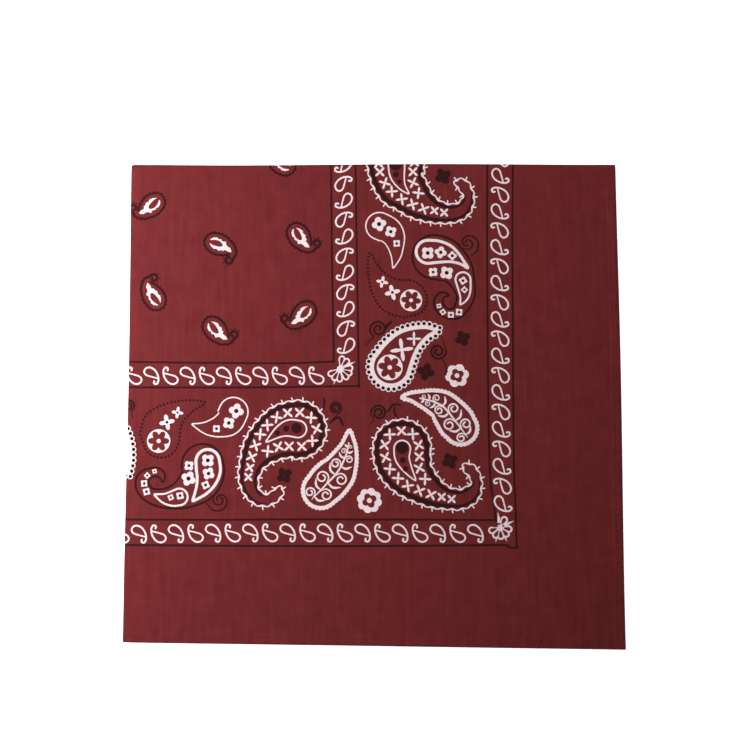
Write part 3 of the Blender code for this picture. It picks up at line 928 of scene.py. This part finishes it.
class Wire:
    """A shader socket that takes part in Python arithmetic."""

    def __init__(self, tree, socket=None):
        self.tree = tree
        self.socket = socket

    def node(self, kind, settings=None, inputs=None, output=0):
        """Any other node: its type, its settings, its sockets, one output."""
        made = self.tree.nodes.new(kind)
        for name, value in (settings or {}).items():
            if name == "stops":
                for stop, (position, colour) in zip(made.color_ramp.elements, value):
                    stop.position, stop.color = position, colour
            else:
                setattr(made, name, value)
        for key, value in (inputs or {}).items():
            if isinstance(value, Wire):
                self.tree.links.new(value.socket, made.inputs[key])
            else:
                made.inputs[key].default_value = value
        return Wire(self.tree, made.outputs[output])

    def math(self, operation, first, second=0.0):
        return self.node("ShaderNodeMath", {"operation": operation}, {0: first, 1: second})

    def __add__(self, other):
        return self.math("ADD", self, other)

    def __mul__(self, other):
        return self.math("MULTIPLY", self, other)

    def __sub__(self, other):
        return self.math("SUBTRACT", self, other)

    def __rsub__(self, other):
        return self.math("SUBTRACT", other, self)

    __radd__ = __add__
    __rmul__ = __mul__

    def clamp(self):
        return self.node("ShaderNodeClamp", {}, {0: self})

    def mix(self, share, first, second):
        """Colours mixed by a share from 0 to 1."""
        return self.node("ShaderNodeMix", {"data_type": "RGBA"}, {0: share, 6: first, 7: second}, 2)


THREAD_PITCH = 0.00037
DARKER, LIGHTER = (0.62, 0.52, 0.52), (1.42, 1.55, 1.52)      # of the dye, in its slubs
CHALK = (0.46, 0.375, 0.385, 1), (0.57, 0.475, 0.485, 1)      # white ink, thin and full
SOOT = (0.013, 0.003, 0.0035, 1), (0.022, 0.005, 0.0055, 1)   # black ink, full and thin


def cotton(name, red, printed=True):
    """Washed plain-weave cotton, dyed through, with matt ink on it."""
    material = bpy.data.materials.new(name)
    material.use_nodes = True
    tree = material.node_tree
    shader = tree.nodes["Principled BSDF"]
    wire = Wire(tree)
    place = wire.node("ShaderNodeUVMap", {"uv_map": "Thread"}) if printed else \
        wire.node("ShaderNodeTexCoord", {}, {}, 3)

    def slubs(across, along, detail):
        scaled = wire.node("ShaderNodeMapping", {}, {"Vector": place, "Scale": (across, along, 300)})
        return wire.node("ShaderNodeTexNoise", {}, {"Vector": scaled, "Scale": 1.0, "Detail": detail})

    warp = slubs(1300, 45, 2.0)
    weft = slubs(45, 1300, 2.0)
    streak = slubs(380, 28, 2.0)
    cloudy = slubs(110, 110, 3.0)
    grain = slubs(900, 900, 1.0)
    tone = 0.33 + 0.42 * streak + 0.45 * cloudy + 0.20 * warp + 0.14 * weft + 0.14 * grain
    dark, light = [tuple(a * b for a, b in zip(red, shade)) + (1.0,) for shade in (DARKER, LIGHTER)]
    colour = wire.mix((tone - 0.65).clamp(), dark, light)
    if printed:
        mark = wire.node("ShaderNodeAttribute", {"attribute_name": "ink"}, {}, 2)
        white = (1 - wire.math("ABSOLUTE", mark - 1)).clamp()
        black = (mark - 1).clamp()
        colour = wire.mix(white, colour, wire.mix((1.7 * grain - 0.35).clamp(), *CHALK))
        colour = wire.mix(black * 0.96, colour, wire.mix(grain, *SOOT))
    tree.links.new(colour.socket, shader.inputs["Base Color"])
    threads = wire.node("ShaderNodeSeparateXYZ", {}, {"Vector": place})
    thread_u = Wire(tree, threads.socket.node.outputs[0])
    thread_v = Wire(tree, threads.socket.node.outputs[1])
    weave = wire.math("SINE", math.tau / THREAD_PITCH * thread_u) \
        * wire.math("SINE", math.tau / THREAD_PITCH * thread_v)
    height = 0.35 * weave + 1.0 * warp + 0.9 * weft
    bump = wire.node("ShaderNodeBump", {}, {"Height": height, "Strength": 0.35, "Distance": 0.00006})
    tree.links.new(bump.socket, shader.inputs["Normal"])
    shader.inputs["Roughness"].default_value = 0.86
    shader.inputs["Specular IOR Level"].default_value = 0.05
    return material


RED = (0.104, 0.0132, 0.0148)
printed_cotton = cotton("printed_cotton", RED)


def on_cloth(listed):
    """Printed outlines, measured from the folds' lines as the cloth is."""
    return [(colour, [(x - PRINT_ORIGIN[0], y - PRINT_ORIGIN[1]) for x, y in outline])
            for colour, outline in listed]


LEFT_END = -1000 * (LEFT_BEND + FOLD_RETURN)
TOP_END = -1000 * (TOP_BEND + FOLD_RETURN)
HEM_INSETS = [0.05, 0.14, 0.28, 0.52, 3.4, 3.75, 4.0, 4.25, 4.6, 5.2, 6.0]
left_stations = [-1000 * LEFT_BEND * k / 8 for k in range(9)]
top_stations = [-1000 * TOP_BEND * k / 10 for k in range(11)]


def hem_lines(edge, inward):
    """Lines of the net along a hem, with their points closer by the stitches."""
    return [(edge + inward * inset, 0.7 if 3 < inset < 5 else 2.0) for inset in HEM_INSETS]


front_cloth = make_sheet("front_cloth", (LEFT_END, TOP_END), (1000 * ALONG_END, 1000 * DOWN_END),
                         [(u, 2.0) for u in left_stations] + hem_lines(1000 * ALONG_END, -1),
                         [(v, 2.0) for v in top_stations] + hem_lines(1000 * DOWN_END, -1),
                         2.0, on_cloth(shapes), front_face, printed_cotton)
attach(front_cloth, "root")
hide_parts("front_quarter")

# ---------------------------------------------------------------------------
# Front hems. The square's edge is turned in twice, which leaves a flat cord
# of cloth behind the face. The right one runs on round the top fold and the
# bottom one round the left fold, where it ends beside the right one.
TURNING_GAP = 0.00002      # air between the turnings and the face over them
# Cross-section of the turnings: millimetres in from the edge, share of height
HEM_SECTION = [(0.04, 0.50), (0.08, 0.22), (0.20, 0.06), (0.50, 0.0), (1.8, 0.0), (3.3, 0.0),
               (4.50, 0.0), (4.80, 0.06), (4.93, 0.22), (4.98, 0.50), (4.93, 0.78), (4.80, 0.94),
               (4.50, 1.0), (4.0, 1.0), (3.3, 1.0), (1.8, 1.0), (0.50, 1.0), (0.20, 0.94),
               (0.08, 0.78)]
hem_cotton = cotton("hem_cotton", RED, printed=False)


def closed_piece(name, points, faces, material):
    """A smooth closed mesh with its faces pointing out."""
    mesh = bpy.data.meshes.new(name)
    mesh.from_pydata([tuple(p) for p in points], [], faces)
    shape = bmesh.new()
    shape.from_mesh(mesh)
    bmesh.ops.recalc_face_normals(shape, faces=shape.faces)
    shape.to_mesh(mesh)
    shape.free()
    mesh.shade_smooth()
    mesh.set_sharp_from_angle(angle=math.radians(60))
    mesh.materials.append(material)
    return set_out(name, mesh)


def turned_edge(name, runs, face, spot):
    """A closed strip behind an edge; spot(run, inset) is its along and down."""
    points = []
    for run in runs:
        for inset, share in HEM_SECTION:
            along, down = spot(run / 1000, inset / 1000)
            top = face(along, down) - CLOTH_THICKNESS - TURNING_GAP
            points.append(folded(along, down, TURNING_GAP + (top - TURNING_GAP) * share))
    count = len(HEM_SECTION)
    faces = [tuple(range(count)), tuple(range(len(points) - count, len(points)))]
    for ring in range(0, len(points) - count, count):
        for k in range(count):
            after = (k + 1) % count
            faces.append((ring + k, ring + after, ring + count + after, ring + count + k))
    return closed_piece(name, points, faces, hem_cotton)


right_end = 1000 * (ALONG_END - HEM_WIDTH - PARTING)
right_hem = turned_edge("right_hem", [TOP_END] + top_stations[::-1]
                        + spread(0, 1000 * DOWN_END - 0.5, 1.8)[1:] + [1000 * DOWN_END - 0.1],
                        front_face, lambda run, inset: (ALONG_END - inset, run))
bottom_hem = turned_edge("bottom_hem", [LEFT_END] + left_stations[::-1]
                         + spread(0, right_end, 1.8)[1:],
                         front_face, lambda run, inset: (run, DOWN_END - inset))
for hem, node in ((right_hem, "front_hem_right"), (bottom_hem, "front_hem_bottom")):
    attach(hem, "root")
    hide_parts(node)

# ---------------------------------------------------------------------------
# Hem stitches. One row of machine stitches holds each hem, in thread of the
# cloth's own red; each stitch lies in the dent that its pull makes.
STITCH_LENGTH = 0.0022
THREAD_RADIUS = 0.00017
THREAD_RISE = 0.00004      # middle of the thread over the pulled-in face
THREAD_RED = (0.125, 0.018, 0.021)
thread_red = cotton("thread_cotton", THREAD_RED, printed=False)


def stitch_tree():
    """Geometry nodes that lay stitches along lines; sizes are its inputs."""
    tree = bpy.data.node_groups.new("sewn_stitches", "GeometryNodeTree")
    face = tree.interface
    face.new_socket("Line", in_out="INPUT", socket_type="NodeSocketGeometry")
    for size in ("Pitch", "Length", "Radius"):
        face.new_socket(size, in_out="INPUT", socket_type="NodeSocketFloat")
    face.new_socket("Thread", in_out="INPUT", socket_type="NodeSocketMaterial")
    face.new_socket("Stitches", in_out="OUTPUT", socket_type="NodeSocketGeometry")

    def node(kind, inputs, **settings):
        made = tree.nodes.new(kind)
        for name, value in settings.items():
            setattr(made, name, value)
        for key, value in inputs.items():
            if isinstance(value, bpy.types.NodeSocket):
                tree.links.new(value, made.inputs[key])
            else:
                made.inputs[key].default_value = value
        return made.outputs

    given = tree.nodes.new("NodeGroupInput").outputs
    line = node("GeometryNodeMeshToCurve", {"Mesh": given["Line"]})
    places = node("GeometryNodeCurveToPoints", {"Curve": line[0], "Length": given["Pitch"]},
                  mode="LENGTH")
    ball = node("GeometryNodeMeshUVSphere", {"Segments": 8, "Rings": 6, "Radius": 1.0})
    half = node("ShaderNodeMath", {0: given["Length"], 1: 0.5}, operation="MULTIPLY")
    scale = node("ShaderNodeCombineXYZ", {0: given["Radius"], 1: given["Radius"], 2: half[0]})
    thread = node("GeometryNodeTransform", {"Geometry": ball["Mesh"], "Scale": scale[0]})
    laid = node("GeometryNodeInstanceOnPoints",
                {"Points": places["Points"], "Instance": thread[0], "Rotation": places["Rotation"]})
    real = node("GeometryNodeRealizeInstances", {"Geometry": laid[0]})
    done = node("GeometryNodeSetMaterial", {"Geometry": real[0], "Material": given["Thread"]})
    tree.links.new(done[0], tree.nodes.new("NodeGroupOutput").inputs[0])
    return tree


sewn_stitches = stitch_tree()


def sewn(name, rows):
    """Stitches along rows of points, as one plain mesh."""
    mesh = bpy.data.meshes.new(name + "_rows")
    points = [tuple(p) for row in rows for p in row]
    edges, first = [], 0
    for row in rows:
        edges += [(first + k, first + k + 1) for k in range(len(row) - 1)]
        first += len(row)
    mesh.from_pydata(points, edges, [])
    guide = set_out(name + "_rows", mesh)
    sewing = guide.modifiers.new("sewing", "NODES")
    sewing.node_group = sewn_stitches
    values = {"Pitch": STITCH_PITCH, "Length": STITCH_LENGTH, "Radius": THREAD_RADIUS,
              "Thread": thread_red}
    for socket in sewn_stitches.interface.items_tree:
        if socket.in_out == "INPUT" and socket.name in values:
            sewing[socket.identifier] = values[socket.name]
    guide.update_tag()
    seen = guide.evaluated_get(bpy.context.evaluated_depsgraph_get())
    made = bpy.data.meshes.new_from_object(seen)
    made.name = name
    bpy.data.objects.remove(guide)
    made.shade_smooth()
    return set_out(name, made)


def row_runs(start, end):
    """Stations 0.7 mm apart; the first stitch is centred on the first."""
    first = (math.ceil(start / STITCH_PITCH) + 0.5) * STITCH_PITCH
    return [run / 1000 for run in spread(1000 * first, 1000 * end, 0.7)]


def on_face(along, down):
    """A place on the front's stitch rows; under the top fold they sink in."""
    sink = (THREAD_RISE + THREAD_RADIUS) * smooth(-TOP_BEND / 2, -TOP_BEND * 0.8, down)
    return folded(along, down, front_face(along, down) + THREAD_RISE - sink)


hem_stitches = sewn("hem_stitches", [
    [on_face(ALONG_END - STITCH_INSET, down)
     for down in row_runs(-TOP_BEND - FOLD_RETURN, DOWN_END - STITCH_INSET)],
    [on_face(along, DOWN_END - STITCH_INSET)
     for along in row_runs(-LEFT_BEND - FOLD_RETURN, ALONG_END - STITCH_INSET)]])
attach(hem_stitches, "root")

# ---------------------------------------------------------------------------
# Hidden layers. The left half of the square, folded under and then folded
# again round the top: two thin layers joined by a narrow bend, with their own
# hems at the free right and bottom edges, a little back from the front's.
HIDDEN_INSET = 0.0009
HIDDEN_LEFT = LEFT_LINE + FOLD_RETURN + PARTING
HIDDEN_RIGHT = WIDTH / 2 - HIDDEN_INSET
HIDDEN_BOTTOM = -HEIGHT / 2 + HIDDEN_INSET
HIDDEN_RUN = TOP_LINE - HIDDEN_BOTTOM          # one layer, bottom edge to fold
HIDDEN_TURN = math.pi * BEND_RADIUS            # cloth in the bend
HEM_THICKNESS = 0.00092                        # the turned edge, pressed flat
UNEVEN = 0.00022                               # how the free edges wander
HEM_EASE = (HEM_WIDTH - 0.0004, HEM_WIDTH + 0.0006)   # where its thickness falls off
# The hidden layers are the same cloth and dye as the front; their red is a darker copy of it, painted
# shade for layers that lie between the others
INNER_SHADED_RED = (0.092, 0.0122, 0.0138)
inner_cotton = cotton("inner_cotton", INNER_SHADED_RED, printed=False)


def hidden_point(x, run, side):
    """A point of the two layers; run goes over the fold, side is 1 outside."""
    edge = min(run, 2 * HIDDEN_RUN + HIDDEN_TURN - run, HIDDEN_RIGHT - x)
    half, hem_half = CLOTH_THICKNESS / 2, HEM_THICKNESS / 2
    half += (hem_half - half) * (1 - smooth(*HEM_EASE, edge))
    if edge < hem_half:
        half *= math.sqrt(max(1 - (1 - max(edge, 0.0) / hem_half) ** 2, 0.002))
    radius = BEND_RADIUS + side * half
    if run <= HIDDEN_RUN:
        y, z = HIDDEN_BOTTOM + run, radius
    elif run < HIDDEN_RUN + HIDDEN_TURN:
        angle = (run - HIDDEN_RUN) / BEND_RADIUS
        y, z = TOP_LINE + radius * math.sin(angle), radius * math.cos(angle)
    else:
        y, z = TOP_LINE - (run - HIDDEN_RUN - HIDDEN_TURN), -radius
    wander = 1 + math.sin(run / 0.021 + 0.8 * math.sin(run / 0.047))
    x -= UNEVEN * wander * (x - HIDDEN_LEFT) / (HIDDEN_RIGHT - HIDDEN_LEFT)
    return lie(x, y, STACK_MIDDLE + z)


def hidden_sheet():
    """Both layers in one closed mesh, in rows from the bottom over the fold."""
    insets = [0.0, 0.02, 0.08, 0.18, 0.32, 0.46, 1.2, 2.6, 3.8, 4.6, 4.9, 5.2, 5.6, 7.0]
    across = spread(1000 * HIDDEN_LEFT, 1000 * HIDDEN_RIGHT - insets[-1], 6.0)[:-1]
    across += [1000 * HIDDEN_RIGHT - inset for inset in insets[::-1]]
    up = insets[:-1] + spread(insets[-1], 1000 * HIDDEN_RUN, 6.0)[:-1]
    bend = spread(1000 * HIDDEN_RUN, 1000 * (HIDDEN_RUN + HIDDEN_TURN), 0.2)
    whole = 1000 * (2 * HIDDEN_RUN + HIDDEN_TURN)
    runs = up + bend + [whole - run for run in up[::-1]]
    rows, columns = len(across), len(runs)
    points = [hidden_point(x / 1000, run / 1000, side)
              for side in (1, -1) for x in across for run in runs]
    faces = []
    for base in (0, rows * columns):
        for i in range(rows - 1):
            for j in range(columns - 1):
                a = base + i * columns + j
                faces.append((a, a + 1, a + columns + 1, a + columns))
    rim = [(i, 0) for i in range(rows - 1)] + [(rows - 1, j) for j in range(columns - 1)]
    rim += [(i, columns - 1) for i in range(rows - 1, 0, -1)]
    rim += [(0, j) for j in range(columns - 1, 0, -1)]
    numbers = [i * columns + j for i, j in rim]
    for here, there in zip(numbers, numbers[1:] + numbers[:1]):
        faces.append((here, there, there + rows * columns, here + rows * columns))
    return closed_piece("hidden_cloth", points, faces, inner_cotton)


hidden_cloth = hidden_sheet()
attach(hidden_cloth, "root")
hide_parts("hidden_layers")

# ---------------------------------------------------------------------------
# Back quarter. The layer on the table, printed side down, in the same print
# turned a quarter; what crosses the top fold goes on as it lies.
BACK_INSET = 0.0004
BACK_TOP = -TOP_BEND - FOLD_RETURN - PARTING
BACK_EDGE = ALONG_END - BACK_INSET
BACK_DOWN = -TOP_BEND - DOWN_END + BACK_INSET
BACK_LIFT = 0.00002        # the printed face clears the table by this
# Print left out round what crosses the fold: across, down, reach
FOLD_ROOM = [(20.0, 149.0, 17.0), (34.0, 138.0, 11.0), (9.0, 80.0, 14.0)]


def back_face(along, down):
    """Depth of the back's printed face; its hems don't swell."""
    depth = WALL - BACK_LIFT - abs(rumple(along, down))
    for inset, run in ((BACK_EDGE - along, down), (down - BACK_DOWN, along)):
        if inset < HEM_WIDTH + 0.001:
            depth += min(hem_profile(inset, run) - HEM_SWELL, 0.0) * smooth(0.0062, 0.0052, inset)
    return depth


def back_print():
    """The front's print turned a quarter, and what crosses the top fold."""
    turned = []
    for colour, outline in shapes:
        x, y = outline[0]
        if all(math.hypot(x - a, y - b) > reach for a, b, reach in FOLD_ROOM):
            turned.append((colour, [(py - PRINT_ORIGIN[0], PRINT_ORIGIN[1] - 1000 * TOP_BEND - px)
                                    for px, py in outline]))
    shapes.clear()
    thorned_paisley(THORNED[0])
    for row in FIELD_LEAVES[6:]:
        field_leaf(*row)
    return turned + on_cloth(shapes)


back_cloth = make_sheet("back_cloth", (LEFT_END, 1000 * BACK_DOWN), (1000 * BACK_EDGE, 1000 * BACK_TOP),
                        [(u, 2.0) for u in left_stations] + hem_lines(1000 * BACK_EDGE, -1),
                        hem_lines(1000 * BACK_DOWN, 1), 3.5, back_print(), back_face, printed_cotton)
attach(back_cloth, "root")
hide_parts("back_quarter")

# ---------------------------------------------------------------------------
# Back hems. Turned and sewn like the front's; they lie flat on the table,
# with the stitches sunk into the face.


def in_back_face(along, down):
    """A place on the back's stitch rows, kept clear of the table."""
    return folded(along, down, min(back_face(along, down) + THREAD_RISE, WALL - THREAD_RADIUS))


back_right_hem = turned_edge("back_right_hem", [1000 * BACK_DOWN + 0.1]
                             + spread(1000 * BACK_DOWN + 0.5, 1000 * BACK_TOP, 4.0),
                             back_face, lambda run, inset: (BACK_EDGE - inset, run))
back_bottom_hem = turned_edge("back_bottom_hem", [LEFT_END] + left_stations[::-1]
                              + spread(0, right_end - 1000 * BACK_INSET, 4.0)[1:],
                              back_face, lambda run, inset: (run, BACK_DOWN + inset))
for hem, node in ((back_right_hem, "back_hem_right"), (back_bottom_hem, "back_hem_bottom")):
    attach(hem, "root")
    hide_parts(node)
back_stitches = sewn("back_stitches", [
    [in_back_face(BACK_EDGE - STITCH_INSET, down)
     for down in row_runs(BACK_DOWN + STITCH_INSET, BACK_TOP)],
    [in_back_face(along, BACK_DOWN + STITCH_INSET)
     for along in row_runs(-LEFT_BEND - FOLD_RETURN, BACK_EDGE - STITCH_INSET)]])
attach(back_stitches, "root")

# ---------------------------------------------------------------------------
# Floor, light and camera. A white table under soft light from the left, seen
# from almost straight above.
floor_mesh = bpy.data.meshes.new("floor")
floor_mesh.from_pydata([(-3, -3, 0), (3, -3, 0), (3, 3, 0), (-3, 3, 0)], [], [(0, 1, 2, 3)])
floor = set_out("floor", floor_mesh)
paper = bpy.data.materials.new("white_paper")
paper.use_nodes = True
paper_shader = paper.node_tree.nodes["Principled BSDF"]
paper_shader.inputs["Base Color"].default_value = (0.9, 0.9, 0.9, 1)
paper_shader.inputs["Roughness"].default_value = 0.9
paper_shader.inputs["Emission Color"].default_value = (1, 1, 1, 1)
paper_shader.inputs["Emission Strength"].default_value = 0.9
floor_mesh.materials.append(paper)

# Lamps: name, place, aim, size, power
LAMPS = [
    ("key", (-0.40, 0.12, 0.30), (-0.05, 0.0, 0.0), 0.25, 4.6),
    ("low fill", (-0.45, -0.14, 0.28), (-0.10, -0.08, 0.0), 0.25, 1.8),
    ("top fill", (0.10, 0.45, 0.35), (0.10, 0.10, 0.0), 0.30, 1.35),
]
for name, place, aim, size, power in LAMPS:
    lamp = bpy.data.lights.new(name, "AREA")
    lamp.shape = "DISK"
    lamp.size = size
    lamp.energy = power
    holder = set_out(name, lamp)
    holder.location = place
    holder.rotation_euler = (Vector(aim) - Vector(place)).to_track_quat("-Z", "Y").to_euler()
world = bpy.data.worlds.new("studio")
bpy.context.scene.world = world
world.use_nodes = True
world.node_tree.nodes["Background"].inputs["Color"].default_value = (1.0, 1.0, 1.0, 1)
world.node_tree.nodes["Background"].inputs["Strength"].default_value = 0.10
bpy.context.scene.view_settings.view_transform = "Standard"

LENS, SENSOR = 52.96, 36
CAMERA_PLACE = (0.02392, -0.03996, 0.61032)
CAMERA_TURNS = (5.0818, 2.0503, 0.5022)
lens = bpy.data.cameras.new("camera")
lens.lens = LENS
lens.sensor_width = SENSOR
camera = set_out("camera", lens)
camera.location = CAMERA_PLACE
camera.rotation_euler = [math.radians(turn) for turn in CAMERA_TURNS]
bpy.context.scene.camera = camera
